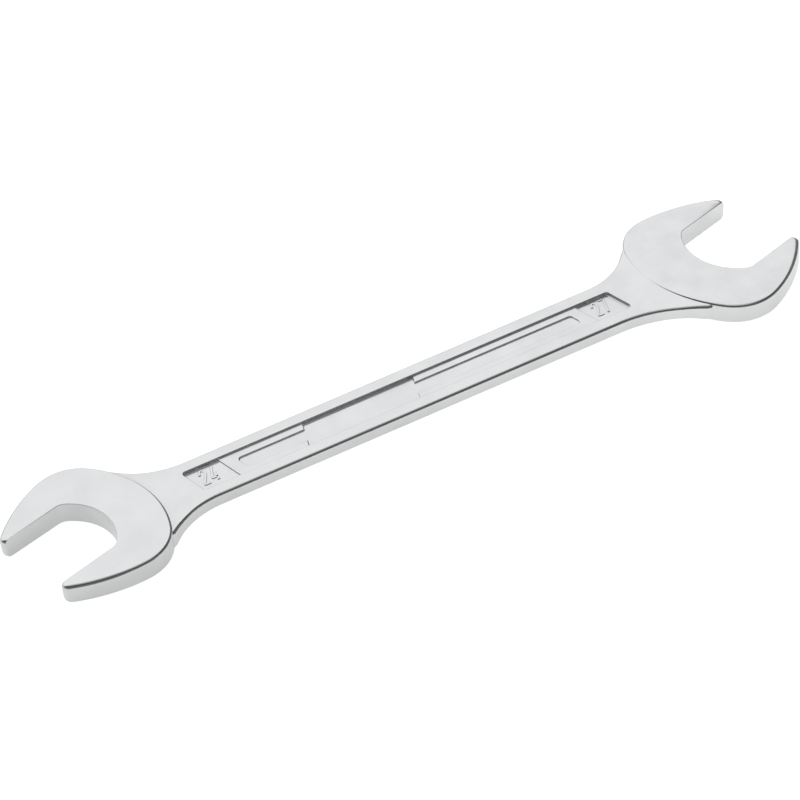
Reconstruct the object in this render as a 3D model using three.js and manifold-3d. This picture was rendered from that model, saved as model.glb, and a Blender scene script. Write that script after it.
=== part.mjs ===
// A double open end wrench, drop forged in one piece, with a 24 mm jaw and a 27 mm jaw.
//
// Millimetres, Z up. X runs along the shank from the small jaw to the large one. The wrench
// lies flat on its two heads, and the origin is under the middle of its box, at that level.

import * as THREE from 'three';
import { mergeVertices } from 'three/addons/utils/BufferGeometryUtils.js';
import Module from 'manifold-3d';

const wasm = await Module();
wasm.setup();

// Jaws: the width across the flats of each nut, and the play that lets it slide on
const SMALL_JAW = 24;
const LARGE_JAW = 27;
const JAW_PLAY = 0.2;
const JAW_TILT_DEGREES = 15;

// Both heads: the shoulder line is where a head is widest, square to its jaw. Each prong ends
// in an arc, centred a little outside the flat, and the flat cuts the arc off.
const SHOULDER_SPAN = 203.5;
const HEAD_THICKNESS = 6.7;
const HEAD_OFFSET = 0.7;
const TIP_RADIUS = 2.25;
const TIP_SET_OUT = 1.25;
const EDGE_ROUND = 0.95;

// Small head, measured from its shoulder line
const SMALL_HALF_WIDTH = 24.15;
const SMALL_SHOULDER_RADIUS = 13.7;
const SMALL_BACK_REACH = 16.9;
const SMALL_CHEEK_RADIUS = 46;
const SMALL_TIP_REACH = 23.8;
const SMALL_THROAT_SETBACK = 2.0;
const SMALL_THROAT_RADIUS = 15.3;
const SMALL_THROAT_CORNER = 3.5;

// Large head, measured from its shoulder line
const LARGE_HALF_WIDTH = 27.15;
const LARGE_SHOULDER_RADIUS = 15.1;
const LARGE_BACK_REACH = 18.3;
const LARGE_CHEEK_RADIUS = 50;
const LARGE_TIP_REACH = 27.3;
const LARGE_THROAT_SETBACK = 0.5;
const LARGE_THROAT_RADIUS = 16.8;
const LARGE_THROAT_CORNER = 4;

// Shank: its straight edges part slightly towards the large head, and its widths are measured
// where they would meet the shoulder lines. A flare leads from each edge to each head, and its
// stop is how far short of level with the head's side it ends.
const SHANK_THICKNESS = 4.4;
const SHANK_WIDTH_AT_SMALL = 17.8;
const SHANK_WIDTH_AT_LARGE = 19.7;
const SMALL_OPENING_SIDE_FLARE = 25.2;
const SMALL_BACK_SIDE_FLARE = 28;
const LARGE_OPENING_SIDE_FLARE = 23.5;
const LARGE_BACK_SIDE_FLARE = 39.5;
const SMALL_OPENING_SIDE_STOP = 3.5;
const SMALL_BACK_SIDE_STOP = 0;
const LARGE_OPENING_SIDE_STOP = 3.5;
const LARGE_BACK_SIDE_STOP = 5;
const FLARE_STANDOFF = 0.5;
const LEAD_IN_SHARE = 0.25;
const LEAD_IN_DEGREES = 110;

// Sunk panel, the same in both faces: two deep end fields for the numerals, a deep middle
// field, and between them two pads, each with a round ended channel open to the middle field
const PANEL_WIDTH = 10.4;
const PANEL_CORNER = 1.3;
const SMALL_PANEL_SETBACK = 28.7;
const LARGE_PANEL_SETBACK = 30.3;
const PAD_DEPTH = 0.6;
const FIELD_DEPTH = 1.05;
const END_FIELD_LENGTH = 12.2;
const MIDDLE_FIELD_LENGTH = 37.3;
const SMALL_PAD_LENGTH = 24;
const MIDDLE_SLANT_DEGREES = 17;
const CHANNEL_WIDTH = 5;
const CHANNEL_MARGIN = 3.4;
const CHANNEL_CORNER = 1.4;

// Raised numerals in the end fields, a little to the left of the middle of each
const NUMERAL_HEIGHT = 6;
const DIGIT_WIDTH = 2.65;
const DIGIT_GAP = 0.25;
const STROKE_WIDTH = 0.8;
const NUMERAL_RISE = 0.3;
const NUMERAL_SHIFT = 0.5;
const NUMERAL_SLANT_DEGREES = 5;

// Fineness of the faces, and how far one form runs into or past another
const CHORD_SAG = 0.03;
const MAX_CHORD_DEGREES = 15;
const ROUND_STEPS = 3;
const BOWL_STEPS = 6;
const OVERRUN = 1;

const JAW_TILT = THREE.MathUtils.degToRad(JAW_TILT_DEGREES);
const MIDDLE_SLANT = Math.tan(THREE.MathUtils.degToRad(MIDDLE_SLANT_DEGREES));
const NUMERAL_SLANT = Math.tan(THREE.MathUtils.degToRad(NUMERAL_SLANT_DEGREES));
const END_SLANT = -Math.tan(JAW_TILT);
const ORIGIN = new THREE.Vector2();
const UPPER = 1;
const UNDER = -1;

const smallHead = {
  shoulder: new THREE.Vector2(-SHOULDER_SPAN / 2, HEAD_OFFSET),
  bearing: Math.PI + JAW_TILT,
  jaw: SMALL_JAW + JAW_PLAY,
  halfWidth: SMALL_HALF_WIDTH,
  shoulderRadius: SMALL_SHOULDER_RADIUS,
  backReach: SMALL_BACK_REACH,
  cheekRadius: SMALL_CHEEK_RADIUS,
  tipReach: SMALL_TIP_REACH,
  throatSetback: SMALL_THROAT_SETBACK,
  throatRadius: SMALL_THROAT_RADIUS,
  throatCorner: SMALL_THROAT_CORNER,
};

const largeHead = {
  shoulder: new THREE.Vector2(SHOULDER_SPAN / 2, HEAD_OFFSET),
  bearing: JAW_TILT,
  jaw: LARGE_JAW + JAW_PLAY,
  halfWidth: LARGE_HALF_WIDTH,
  shoulderRadius: LARGE_SHOULDER_RADIUS,
  backReach: LARGE_BACK_REACH,
  cheekRadius: LARGE_CHEEK_RADIUS,
  tipReach: LARGE_TIP_REACH,
  throatSetback: LARGE_THROAT_SETBACK,
  throatRadius: LARGE_THROAT_RADIUS,
  throatCorner: LARGE_THROAT_CORNER,
};

// Points along a circular arc, close enough together that no chord strays past the sag.
function arc(centre, radius, from, to) {
  const sagAngle = 2 * Math.acos(1 - Math.min(CHORD_SAG / radius, 1));
  const stepAngle = Math.min(sagAngle, THREE.MathUtils.degToRad(MAX_CHORD_DEGREES));
  const steps = Math.max(2, Math.ceil(Math.abs(to - from) / stepAngle));
  const points = [];
  for (let i = 0; i <= steps; i += 1) {
    const angle = from + (to - from) * (i / steps);
    points.push(new THREE.Vector2(Math.cos(angle), Math.sin(angle)).multiplyScalar(radius).add(centre));
  }
  return points;
}

// A closed outline whose corners, each a point with a radius, are turned into arcs.
function roundedOutline(corners) {
  return corners.flatMap(({ at, radius }, i) => {
    if (radius === 0) {
      return [at];
    }
    const before = corners.at(i - 1).at.clone().sub(at).normalize();
    const after = corners[(i + 1) % corners.length].at.clone().sub(at).normalize();
    const halfAngle = before.angleTo(after) / 2;
    const towards = before.clone().add(after).normalize();
    const centre = towards.multiplyScalar(radius / Math.sin(halfAngle)).add(at);
    const first = before.multiplyScalar(radius / Math.tan(halfAngle)).add(at).sub(centre).angle();
    const last = after.multiplyScalar(radius / Math.tan(halfAngle)).add(at).sub(centre).angle();
    const sweep = THREE.MathUtils.euclideanModulo(last - first + Math.PI, 2 * Math.PI) - Math.PI;
    return arc(centre, radius, first, first + sweep);
  });
}

function mirrored(points) {
  return points.map((point) => new THREE.Vector2(point.x, -point.y)).reverse();
}

function asSolid(geometry) {
  geometry.deleteAttribute('normal');
  geometry.deleteAttribute('uv');
  const merged = mergeVertices(geometry);
  return new wasm.Manifold(new wasm.Mesh({
    numProp: 3,
    vertProperties: new Float32Array(merged.getAttribute('position').array),
    triVerts: new Uint32Array(merged.index.array),
  }));
}

function asGeometry(solid) {
  const mesh = solid.getMesh();
  const geometry = new THREE.BufferGeometry();
  geometry.setAttribute('position', new THREE.BufferAttribute(mesh.vertProperties, 3));
  geometry.setIndex(new THREE.BufferAttribute(mesh.triVerts, 1));
  geometry.computeVertexNormals();
  return geometry;
}

function joined(solids) {
  return solids.reduce((whole, solid) => whole.add(solid));
}

// A plate centred on the wrench's middle plane, with rounded upper and lower edges.
function plate(points, thickness) {
  const geometry = new THREE.ExtrudeGeometry(new THREE.Shape(points), {
    depth: thickness - 2 * EDGE_ROUND,
    bevelThickness: EDGE_ROUND,
    bevelSize: EDGE_ROUND,
    bevelOffset: -EDGE_ROUND,
    bevelSegments: ROUND_STEPS,
  });
  geometry.translate(0, 0, EDGE_ROUND - thickness / 2);
  return asSolid(geometry);
}

function prism(points, from, to) {
  const shape = new THREE.Shape(points);
  const geometry = new THREE.ExtrudeGeometry(shape, { depth: to - from, bevelEnabled: false });
  geometry.translate(0, 0, from);
  return asSolid(geometry);
}

// Puts points drawn in a head's own frame, with the jaw opening along +X, in the wrench's frame.
function onHead(head, points) {
  return points.map((point) => point.clone().rotateAround(ORIGIN, head.bearing).add(head.shoulder));
}

// The circles that a head's outline runs along, on the side above its jaw's centre line. Each
// touches the next from inside: back, shoulder, cheek and tip.
function outlineCircles(head) {
  const shoulder = new THREE.Vector2(0, head.halfWidth - head.shoulderRadius);
  const backRadius = (head.backReach ** 2 + shoulder.y ** 2 - head.shoulderRadius ** 2)
    / (2 * (head.backReach - head.shoulderRadius));
  const back = new THREE.Vector2(backRadius - head.backReach, 0);
  const tip = new THREE.Vector2(head.tipReach - TIP_RADIUS, head.jaw / 2 + TIP_SET_OUT);
  const toTip = tip.clone().sub(shoulder);
  const fromShoulder = head.cheekRadius - head.shoulderRadius;
  const fromTip = head.cheekRadius - TIP_RADIUS;
  const along = (fromShoulder ** 2 - fromTip ** 2 + toTip.lengthSq()) / (2 * toTip.length());
  const aside = -Math.sqrt(fromShoulder ** 2 - along ** 2);
  const cheek = new THREE.Vector2(along, aside).rotateAround(ORIGIN, toTip.angle()).add(shoulder);
  return {
    back: { centre: back, radius: backRadius },
    shoulder: { centre: shoulder, radius: head.shoulderRadius },
    cheek: { centre: cheek, radius: head.cheekRadius },
    tip: { centre: tip, radius: TIP_RADIUS },
  };
}

// The head's outline with its mouth closed. The jaw is cut out of it later.
function headOutline(head) {
  const { back, shoulder, cheek, tip } = outlineCircles(head);
  const backEnd = shoulder.centre.clone().sub(back.centre).angle();
  const shoulderEnd = shoulder.centre.clone().sub(cheek.centre).angle();
  const cheekEnd = tip.centre.clone().sub(cheek.centre).angle();
  const side = [
    ...arc(tip.centre, tip.radius, -Math.PI / 2, cheekEnd),
    ...arc(cheek.centre, cheek.radius, cheekEnd, shoulderEnd).slice(1),
    ...arc(shoulder.centre, shoulder.radius, shoulderEnd, backEnd).slice(1),
    ...arc(back.centre, back.radius, backEnd, Math.PI).slice(1),
  ];
  return [...side, ...mirrored(side.slice(0, -1))];
}

// The space between the flats, back to the hollow of the throat.
function jawOutline(head) {
  const half = head.jaw / 2;
  const throat = new THREE.Vector2(head.throatRadius - head.throatSetback, 0);
  const reach = head.throatRadius - head.throatCorner;
  const rise = half - head.throatCorner;
  const corner = new THREE.Vector2(throat.x - Math.sqrt(reach ** 2 - rise ** 2), rise);
  const cornerEnd = corner.clone().sub(throat).angle();
  const side = [
    new THREE.Vector2(head.tipReach + OVERRUN, half),
    ...arc(corner, head.throatCorner, Math.PI / 2, cornerEnd),
    ...arc(throat, head.throatRadius, cornerEnd, Math.PI).slice(1),
  ];
  return [...side, ...mirrored(side.slice(0, -1))];
}

// One flare of the neck, as points from the shank's edge to a place inside the head. An arc
// leaves the edge smoothly and stops near where it comes level with the head's side, and a
// tighter turn the other way then leads deep into the head.
function flare(head, edgePoint, along, outward, { radius, stop }) {
  const { back, shoulder } = outlineCircles(head);
  const hand = Math.sign(outward.y * Math.cos(head.bearing));
  const beside = (circle) => {
    const [target] = onHead(head, [new THREE.Vector2(circle.centre.x, hand * circle.centre.y)]);
    const start = edgePoint.clone().addScaledVector(outward, radius);
    const offset = target.clone().sub(start);
    const forward = offset.dot(along);
    const aside = offset.lengthSq() - forward ** 2;
    const reach = radius + circle.radius + FLARE_STANDOFF;
    const centre = start.addScaledVector(along, forward - Math.sqrt(reach ** 2 - aside));
    return { centre, inward: target.sub(centre).normalize() };
  };
  const junction = shoulder.centre.clone().sub(back.centre);
  const turned = (vector) => {
    const local = vector.clone().negate().rotateAround(ORIGIN, -head.bearing);
    return new THREE.Vector2(local.x, hand * local.y);
  };
  const first = beside(shoulder);
  const { centre, inward } = turned(first.inward).cross(junction) < 0 ? beside(back) : first;
  const turnRadius = LEAD_IN_SHARE * head.shoulderRadius;
  const sense = Math.sign(along.cross(outward));
  const start = outward.clone().negate();
  const sweep = (start.angleTo(inward) - stop / radius) * sense;
  const turnCentre = start.clone().rotateAround(ORIGIN, sweep).multiplyScalar(radius + turnRadius).add(centre);
  const turnStart = start.angle() + sweep + Math.PI;
  const turnEnd = turnStart - THREE.MathUtils.degToRad(LEAD_IN_DEGREES) * sense;
  return [
    ...arc(centre, radius, start.angle(), start.angle() + sweep),
    ...arc(turnCentre, turnRadius, turnStart, turnEnd).slice(1),
  ];
}

// The shank and both necks, which end inside the heads.
function shankOutline() {
  const edge = (side) => {
    const atSmall = new THREE.Vector2(smallHead.shoulder.x, side * SHANK_WIDTH_AT_SMALL / 2);
    const atLarge = new THREE.Vector2(largeHead.shoulder.x, side * SHANK_WIDTH_AT_LARGE / 2);
    const along = atLarge.clone().sub(atSmall).normalize();
    const outward = new THREE.Vector2(-along.y, along.x).multiplyScalar(side);
    const smallFlare = side > 0
      ? { radius: SMALL_BACK_SIDE_FLARE, stop: SMALL_BACK_SIDE_STOP }
      : { radius: SMALL_OPENING_SIDE_FLARE, stop: SMALL_OPENING_SIDE_STOP };
    const largeFlare = side > 0
      ? { radius: LARGE_OPENING_SIDE_FLARE, stop: LARGE_OPENING_SIDE_STOP }
      : { radius: LARGE_BACK_SIDE_FLARE, stop: LARGE_BACK_SIDE_STOP };
    const toSmall = flare(smallHead, atSmall, along.clone().negate(), outward, smallFlare);
    const toLarge = flare(largeHead, atLarge, along, outward, largeFlare);
    return [...toSmall.reverse(), ...toLarge];
  };
  const root = (head) => onHead(head, [new THREE.Vector2(-(head.backReach + head.throatSetback) / 2, 0)]);
  return [...edge(-1), ...root(largeHead), ...edge(1).reverse(), ...root(smallHead)];
}

// A four cornered outline between two slanted lines, each given where it crosses the centre line.
function slantedField(left, leftSlant, right, rightSlant, width, leftCorner, rightCorner) {
  const half = width / 2;
  return roundedOutline([
    { at: new THREE.Vector2(left - leftSlant * half, -half), radius: leftCorner },
    { at: new THREE.Vector2(right - rightSlant * half, -half), radius: rightCorner },
    { at: new THREE.Vector2(right + rightSlant * half, half), radius: rightCorner },
    { at: new THREE.Vector2(left + leftSlant * half, half), radius: leftCorner },
  ]);
}

const panel = {
  left: smallHead.shoulder.x + SMALL_PANEL_SETBACK,
  right: largeHead.shoulder.x - LARGE_PANEL_SETBACK,
};
panel.leftDivider = panel.left + END_FIELD_LENGTH;
panel.rightDivider = panel.right - END_FIELD_LENGTH;
panel.middleLeft = panel.leftDivider + SMALL_PAD_LENGTH;
panel.middleRight = panel.middleLeft + MIDDLE_FIELD_LENGTH;

// What is sunk into one face: the whole panel to the pads, and its fields and channels deeper.
function panelSpace(face) {
  const surface = SHANK_THICKNESS / 2;
  const sunk = (points, depth) => (face === UPPER
    ? prism(points, surface - depth, surface + OVERRUN)
    : prism(points, -surface - OVERRUN, depth - surface));
  const whole = slantedField(
    panel.left, END_SLANT, panel.right, END_SLANT, PANEL_WIDTH, PANEL_CORNER, PANEL_CORNER,
  );
  const wide = PANEL_WIDTH + 2 * OVERRUN;
  const middle = (panel.middleLeft + panel.middleRight) / 2;
  const deeper = [
    slantedField(panel.left - wide, END_SLANT, panel.leftDivider, END_SLANT, wide, 0, 0),
    slantedField(panel.middleLeft, MIDDLE_SLANT, panel.middleRight, MIDDLE_SLANT, wide, 0, 0),
    slantedField(panel.rightDivider, END_SLANT, panel.right + wide, END_SLANT, wide, 0, 0),
    slantedField(panel.leftDivider + CHANNEL_MARGIN, END_SLANT, middle, 0, CHANNEL_WIDTH, CHANNEL_CORNER, 0),
    slantedField(middle, 0, panel.rightDivider - CHANNEL_MARGIN, END_SLANT, CHANNEL_WIDTH, 0, CHANNEL_CORNER),
  ];
  const fields = joined(deeper.map((points) => sunk(points, FIELD_DEPTH)));
  return sunk(whole, PAD_DEPTH).add(sunk(whole, FIELD_DEPTH).intersect(fields));
}

// Points of a digit's elliptic bowl, in shares of its width and height. Turns are counted anti
// clockwise from the right.
const bowlShares = (middle, reach, fromTurn, toTurn) => Array.from({ length: BOWL_STEPS + 1 }, (_, i) => {
  const angle = 2 * Math.PI * THREE.MathUtils.lerp(fromTurn, toTurn, i / BOWL_STEPS);
  return [middle[0] + reach[0] * Math.cos(angle), middle[1] + reach[1] * Math.sin(angle)];
});

// The centre lines of every digit's strokes, in shares of the width and height between them
const strokeShares = [
  [bowlShares([0.5, 0.5], [0.5, 0.5], 0.25, 0.75), bowlShares([0.5, 0.5], [0.5, 0.5], -0.25, 0.25)],
  [[[0.2, 0.8], [0.6, 1], [0.6, 0]]],
  [[...bowlShares([0.5, 0.7], [0.5, 0.3], 0.5, 0), [0, 0], [1, 0]]],
  [bowlShares([0.4, 0.75], [0.6, 0.25], 0.4, -0.25), bowlShares([0.4, 0.25], [0.6, 0.25], 0.25, -0.4)],
  [[[0.75, 1], [0, 0.22], [1, 0.22]], [[0.8, 0.55], [0.8, 0]]],
  [[[1, 1], [0.1, 1], [0.1, 0.6], ...bowlShares([0.4, 0.3], [0.6, 0.3], 0.25, -0.4)]],
  [
    [[0.8, 1], [0.2, 0.75], ...bowlShares([0.5, 0.3], [0.5, 0.3], 0.5, 1)],
    bowlShares([0.5, 0.3], [0.5, 0.3], 0, 0.5),
  ],
  [[[0, 1], [1, 1], [0.3, 0]]],
  [
    bowlShares([0.5, 0.77], [0.4, 0.23], 0.25, 0.75),
    bowlShares([0.5, 0.77], [0.4, 0.23], -0.25, 0.25),
    bowlShares([0.5, 0.27], [0.5, 0.27], 0.25, 0.75),
    bowlShares([0.5, 0.27], [0.5, 0.27], -0.25, 0.25),
  ],
  [
    [[0.2, 0], [0.8, 0.25], ...bowlShares([0.5, 0.7], [0.5, 0.3], 0, 0.5)],
    bowlShares([0.5, 0.7], [0.5, 0.3], 0.5, 1),
  ],
];

// A ribbon of the stroke's width along a centre line, mitred where the line turns.
function ribbon(line) {
  const half = STROKE_WIDTH / 2;
  const sides = line.map((point, i) => {
    const into = point.clone().sub(line[Math.max(i - 1, 0)]);
    const out = line[Math.min(i + 1, line.length - 1)].clone().sub(point);
    const before = (into.length() ? into : out).clone().normalize();
    const after = (out.length() ? out : into).clone().normalize();
    const normal = new THREE.Vector2(-before.y - after.y, before.x + after.x).normalize();
    const miter = half / Math.max(normal.dot(new THREE.Vector2(-before.y, before.x)), 1 / 2);
    const end = before.clone().multiplyScalar(half * (Number(!out.length()) - Number(!into.length())));
    return { normal, miter, end };
  });
  const offset = (side) => line.map((point, i) => {
    const { normal, miter, end } = sides[i];
    return normal.clone().multiplyScalar(side * miter).add(point).add(end);
  });
  return [...offset(-1), ...offset(1).reverse()];
}

// A two digit number, centred on a point of the shank's centre line, raised from a field's floor.
function numeral(value, centreX, face) {
  const floor = SHANK_THICKNESS / 2 - FIELD_DEPTH;
  const digits = [...String(value)];
  const pitch = DIGIT_WIDTH + DIGIT_GAP;
  const strokes = digits.flatMap((digit, place) => strokeShares[digit].map((shares) => {
    const left = centreX + (place - (digits.length - 1) / 2) * pitch - (DIGIT_WIDTH - STROKE_WIDTH) / 2;
    const line = shares.map(([across, up]) => {
      const y = (up - 1 / 2) * (NUMERAL_HEIGHT - STROKE_WIDTH);
      return new THREE.Vector2(left + across * (DIGIT_WIDTH - STROKE_WIDTH) + NUMERAL_SLANT * y, y);
    });
    const outline = ribbon(line);
    return face === UPPER
      ? prism(outline, 0, floor + NUMERAL_RISE)
      : prism(mirrored(outline), -floor - NUMERAL_RISE, 0);
  }));
  return joined(strokes);
}

function forging() {
  const plates = joined([
    plate(shankOutline(), SHANK_THICKNESS),
    plate(onHead(smallHead, headOutline(smallHead)), HEAD_THICKNESS),
    plate(onHead(largeHead, headOutline(largeHead)), HEAD_THICKNESS),
  ]);
  const through = HEAD_THICKNESS / 2 + OVERRUN;
  const jaws = [smallHead, largeHead].map((head) => prism(onHead(head, jawOutline(head)), -through, through));
  const faces = [UPPER, UNDER];
  const numerals = faces.flatMap((face) => [
    numeral(SMALL_JAW, (panel.left + panel.leftDivider) / 2 - NUMERAL_SHIFT, face),
    numeral(LARGE_JAW, (panel.rightDivider + panel.right) / 2 - NUMERAL_SHIFT, face),
  ]);
  return plates.subtract(joined([...jaws, ...faces.map(panelSpace)])).add(joined(numerals));
}

// Satin chrome plate over the forging
const satinChrome = new THREE.MeshStandardMaterial({ color: 0xd9dcdb, roughness: 0.28, metalness: 1 });

const wrench = new THREE.Mesh(asGeometry(forging()), satinChrome);
wrench.name = 'forged_wrench';
wrench.geometry.computeBoundingBox();
const middle = wrench.geometry.boundingBox.getCenter(new THREE.Vector3());
wrench.position.set(-middle.x, -middle.y, HEAD_THICKNESS / 2);

const openEndWrench = new THREE.Group();
openEndWrench.add(wrench);

export default openEndWrench;
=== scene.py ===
"""An open end wrench, drop forged and satin chrome plated, lying on a white table.

Sizes are in millimetres until a mesh is made. The wrench is drawn about the middle of its
thickness, with x along the shank from the small jaw to the large one, and each finished mesh is
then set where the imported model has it, in metres.
"""

import logging
import math
from dataclasses import dataclass, field
from enum import Enum

import bpy
import numpy as np
from bpy.types import Material, Mesh, Node, NodeSocket, NodeTree, Object, World
from mathutils import Matrix, Quaternion, Vector
from mathutils.geometry import delaunay_2d_cdt


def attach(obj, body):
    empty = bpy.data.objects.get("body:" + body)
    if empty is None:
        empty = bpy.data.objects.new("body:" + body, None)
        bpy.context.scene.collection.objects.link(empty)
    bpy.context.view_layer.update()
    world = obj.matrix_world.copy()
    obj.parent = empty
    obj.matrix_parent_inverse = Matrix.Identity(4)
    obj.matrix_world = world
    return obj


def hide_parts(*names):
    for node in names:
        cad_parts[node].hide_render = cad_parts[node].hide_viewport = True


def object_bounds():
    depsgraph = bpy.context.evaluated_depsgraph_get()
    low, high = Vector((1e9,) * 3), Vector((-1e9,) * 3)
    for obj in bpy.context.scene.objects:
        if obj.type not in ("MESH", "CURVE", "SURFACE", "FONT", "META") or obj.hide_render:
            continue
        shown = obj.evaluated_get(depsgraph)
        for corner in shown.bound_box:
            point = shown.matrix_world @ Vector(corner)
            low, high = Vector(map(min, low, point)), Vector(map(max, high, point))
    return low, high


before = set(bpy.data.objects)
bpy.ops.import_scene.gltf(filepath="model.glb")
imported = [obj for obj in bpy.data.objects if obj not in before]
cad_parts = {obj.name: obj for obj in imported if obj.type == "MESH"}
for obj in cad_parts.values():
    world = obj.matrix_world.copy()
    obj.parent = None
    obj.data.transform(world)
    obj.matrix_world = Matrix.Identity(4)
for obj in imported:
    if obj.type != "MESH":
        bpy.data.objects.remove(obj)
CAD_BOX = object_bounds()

LOG = logging.getLogger("wrench")
MM = 0.001
NODE = "forged_wrench"
BODY = "root"

# Sockets of the map range node by name, and those of the mix node for colours by index
MAP_INPUTS = ("Value", "From Min", "From Max", "To Min", "To Max")
MIX_INPUTS = (6, 7)
MIX_OUTPUT = 2

# How finely curves are drawn: the longest chord, the widest turn, and numbers of steps
CURVE_STEP = 0.55
TURN_STEP = math.radians(7)
FEWEST_STEPS = 2
ROUND_STEPS = 8
STRAIGHT_STEPS = 3

# The least radius that is drawn, the gap at which two points are one, how far a chord may lie
# from its curve, and the steepest slope, which stands for an upright wall
LEAST_RADIUS = 1.0e-4
SAME_POINT = 2.5e-5
CHORD_GAP = 0.02
STEEPEST = 1.0e3

# How far towards the middle of its face the normal at a corner is taken
CREASE_SHARE = 0.02

# The kind of result that the triangulation is asked for
ALL_TRIANGLES = 0

# The mirror images of plane points across the x axis, and of others through the middle plane
FLIP = np.array([1.0, -1.0])
MIRROR = np.array([1.0, 1.0, -1.0])

Array = np.ndarray
Pair = tuple[float, float]


class Face(Enum):
    """The two broad faces of the wrench, by the turn about the shank that brings each one up."""

    UPPER = 0.0
    UNDER = math.pi


class Jaw(Enum):
    """The two jaws, by the nut that each one fits, in millimetres across its flats."""

    SMALL = 24
    LARGE = 27


class Circle(Enum):
    """The circles that each side of a head runs along, from its back to its tips."""

    BACK = "back"
    SHOULDER = "shoulder"
    CHEEK = "cheek"
    TIP = "tip"


def unit(vector: Array) -> Array:
    """Scales a plane vector to length one."""
    return vector / np.linalg.norm(vector)


def direction(angle: float) -> Array:
    """Gives the unit vector at an angle in radians."""
    return np.array([math.cos(angle), math.sin(angle)])


def angle_of(vector: Array) -> float:
    """Gives the angle of a plane vector in radians."""
    return math.atan2(vector[1], vector[0])


def turned(vector: Array, turn: float) -> Array:
    """Turns a plane vector anticlockwise by an angle in radians."""
    cosine, sine = math.cos(turn), math.sin(turn)
    return np.array([cosine * vector[0] - sine * vector[1], sine * vector[0] + cosine * vector[1]])


def left_of(vector: Array) -> Array:
    """Turns a plane vector a quarter turn anticlockwise."""
    return np.array([-vector[1], vector[0]])


def cross(first: Array, second: Array) -> Array:
    """Gives the area between plane vectors, above zero where the second is on the first's left."""
    return first[..., 0] * second[..., 1] - first[..., 1] * second[..., 0]


def overwrite(where: Array, old: tuple[Array, ...], new: tuple[Array, ...]) -> None:
    """Writes the chosen rows of each new array over the same rows of the old one."""
    for held, given in zip(old, new):
        held[where] = given[where]


@dataclass(frozen=True)
class Arc:
    """A round stretch of an outline. It turns anticlockwise where the outline bulges."""

    centre: Array
    radius: float
    start: float
    end: float

    @property
    def bulge(self) -> float:
        """One where the arc bulges out of the outline, minus one where it hollows it."""
        return math.copysign(1.0, self.end - self.start)

    def reversed(self) -> "Arc":
        """Gives the same arc walked the other way."""
        return Arc(self.centre, self.radius, self.end, self.start)

    def mirrored(self) -> "Arc":
        """Gives the arc's mirror image across the x axis, walked so that it bulges the same way."""
        return Arc(self.centre * FLIP, self.radius, -self.end, -self.start)

    def placed(self, turn: float, origin: Array) -> "Arc":
        """Turns the arc about zero by an angle in radians, then moves it."""
        centre = turned(self.centre, turn) + origin
        return Arc(centre, self.radius, self.start + turn, self.end + turn)

    def points(self, inset: float) -> Array:
        """Samples the arc, moved inwards.

        Args:
            inset: how far inside the outline.

        Returns:
            One row for each point, or none where the inset swallows the arc.
        """
        radius = self.radius - self.bulge * inset
        if radius <= LEAST_RADIUS:
            return np.empty((0, 2))
        span = abs(self.end - self.start)
        by_length, by_turn = span * self.radius / CURVE_STEP, span / TURN_STEP
        steps = max(math.ceil(by_length), math.ceil(by_turn), FEWEST_STEPS)
        angles = np.linspace(self.start, self.end, steps + 1)
        return self.centre + radius * np.column_stack([np.cos(angles), np.sin(angles)])

    def nearest(self, xy: Array) -> tuple[Array, Array]:
        """Finds the nearest place on the arc to each point.

        Args:
            xy: one row for each point.

        Returns:
            The nearest places, and the directions that lead into the outline from there.
        """
        low = min(self.start, self.end)
        span = abs(self.end - self.start)
        offset = xy - self.centre
        beyond = np.mod(np.arctan2(offset[:, 1], offset[:, 0]) - low, 2 * math.pi)
        past_end = np.where(beyond - span < 2 * math.pi - beyond, span, 0.0)
        angles = low + np.where(beyond <= span, beyond, past_end)
        outwards = np.column_stack([np.cos(angles), np.sin(angles)])
        return self.centre + self.radius * outwards, -self.bulge * outwards


@dataclass(frozen=True)
class Line:
    """A straight stretch of an outline, with the inside on its left."""

    start: Array
    end: Array

    def reversed(self) -> "Line":
        """Gives the same line walked the other way."""
        return Line(self.end, self.start)

    def placed(self, turn: float, origin: Array) -> "Line":
        """Turns the line about zero by an angle in radians, then moves it."""
        return Line(turned(self.start, turn) + origin, turned(self.end, turn) + origin)

    def inwards(self) -> Array:
        """Gives the unit vector that leads into the outline."""
        return left_of(unit(self.end - self.start))

    def points(self, inset: float) -> Array:
        """Gives both ends of the line, moved inwards, one row for each."""
        return np.array([self.start, self.end]) + inset * self.inwards()

    def nearest(self, xy: Array) -> tuple[Array, Array]:
        """Finds the nearest place on the line to each point.

        Args:
            xy: one row for each point.

        Returns:
            The nearest places, and the directions that lead into the outline from there.
        """
        along = self.end - self.start
        shares = np.clip((xy - self.start) @ along / (along @ along), 0.0, 1.0)
        return self.start + shares[:, None] * along, np.tile(self.inwards(), (len(xy), 1))


def joined(*places: Array | Pair) -> list[Line]:
    """Joins places by lines, in the order given."""
    corners = [np.array(place) for place in places]
    return [Line(near, far) for near, far in zip(corners, corners[1:])]


def bridge(before: Arc | Line, after: Arc | Line, *places: Array) -> list[Line]:
    """Joins the end of one stretch to the start of another, by way of the places."""
    return joined(before.points(0.0)[-1], *places, after.points(0.0)[0])


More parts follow.
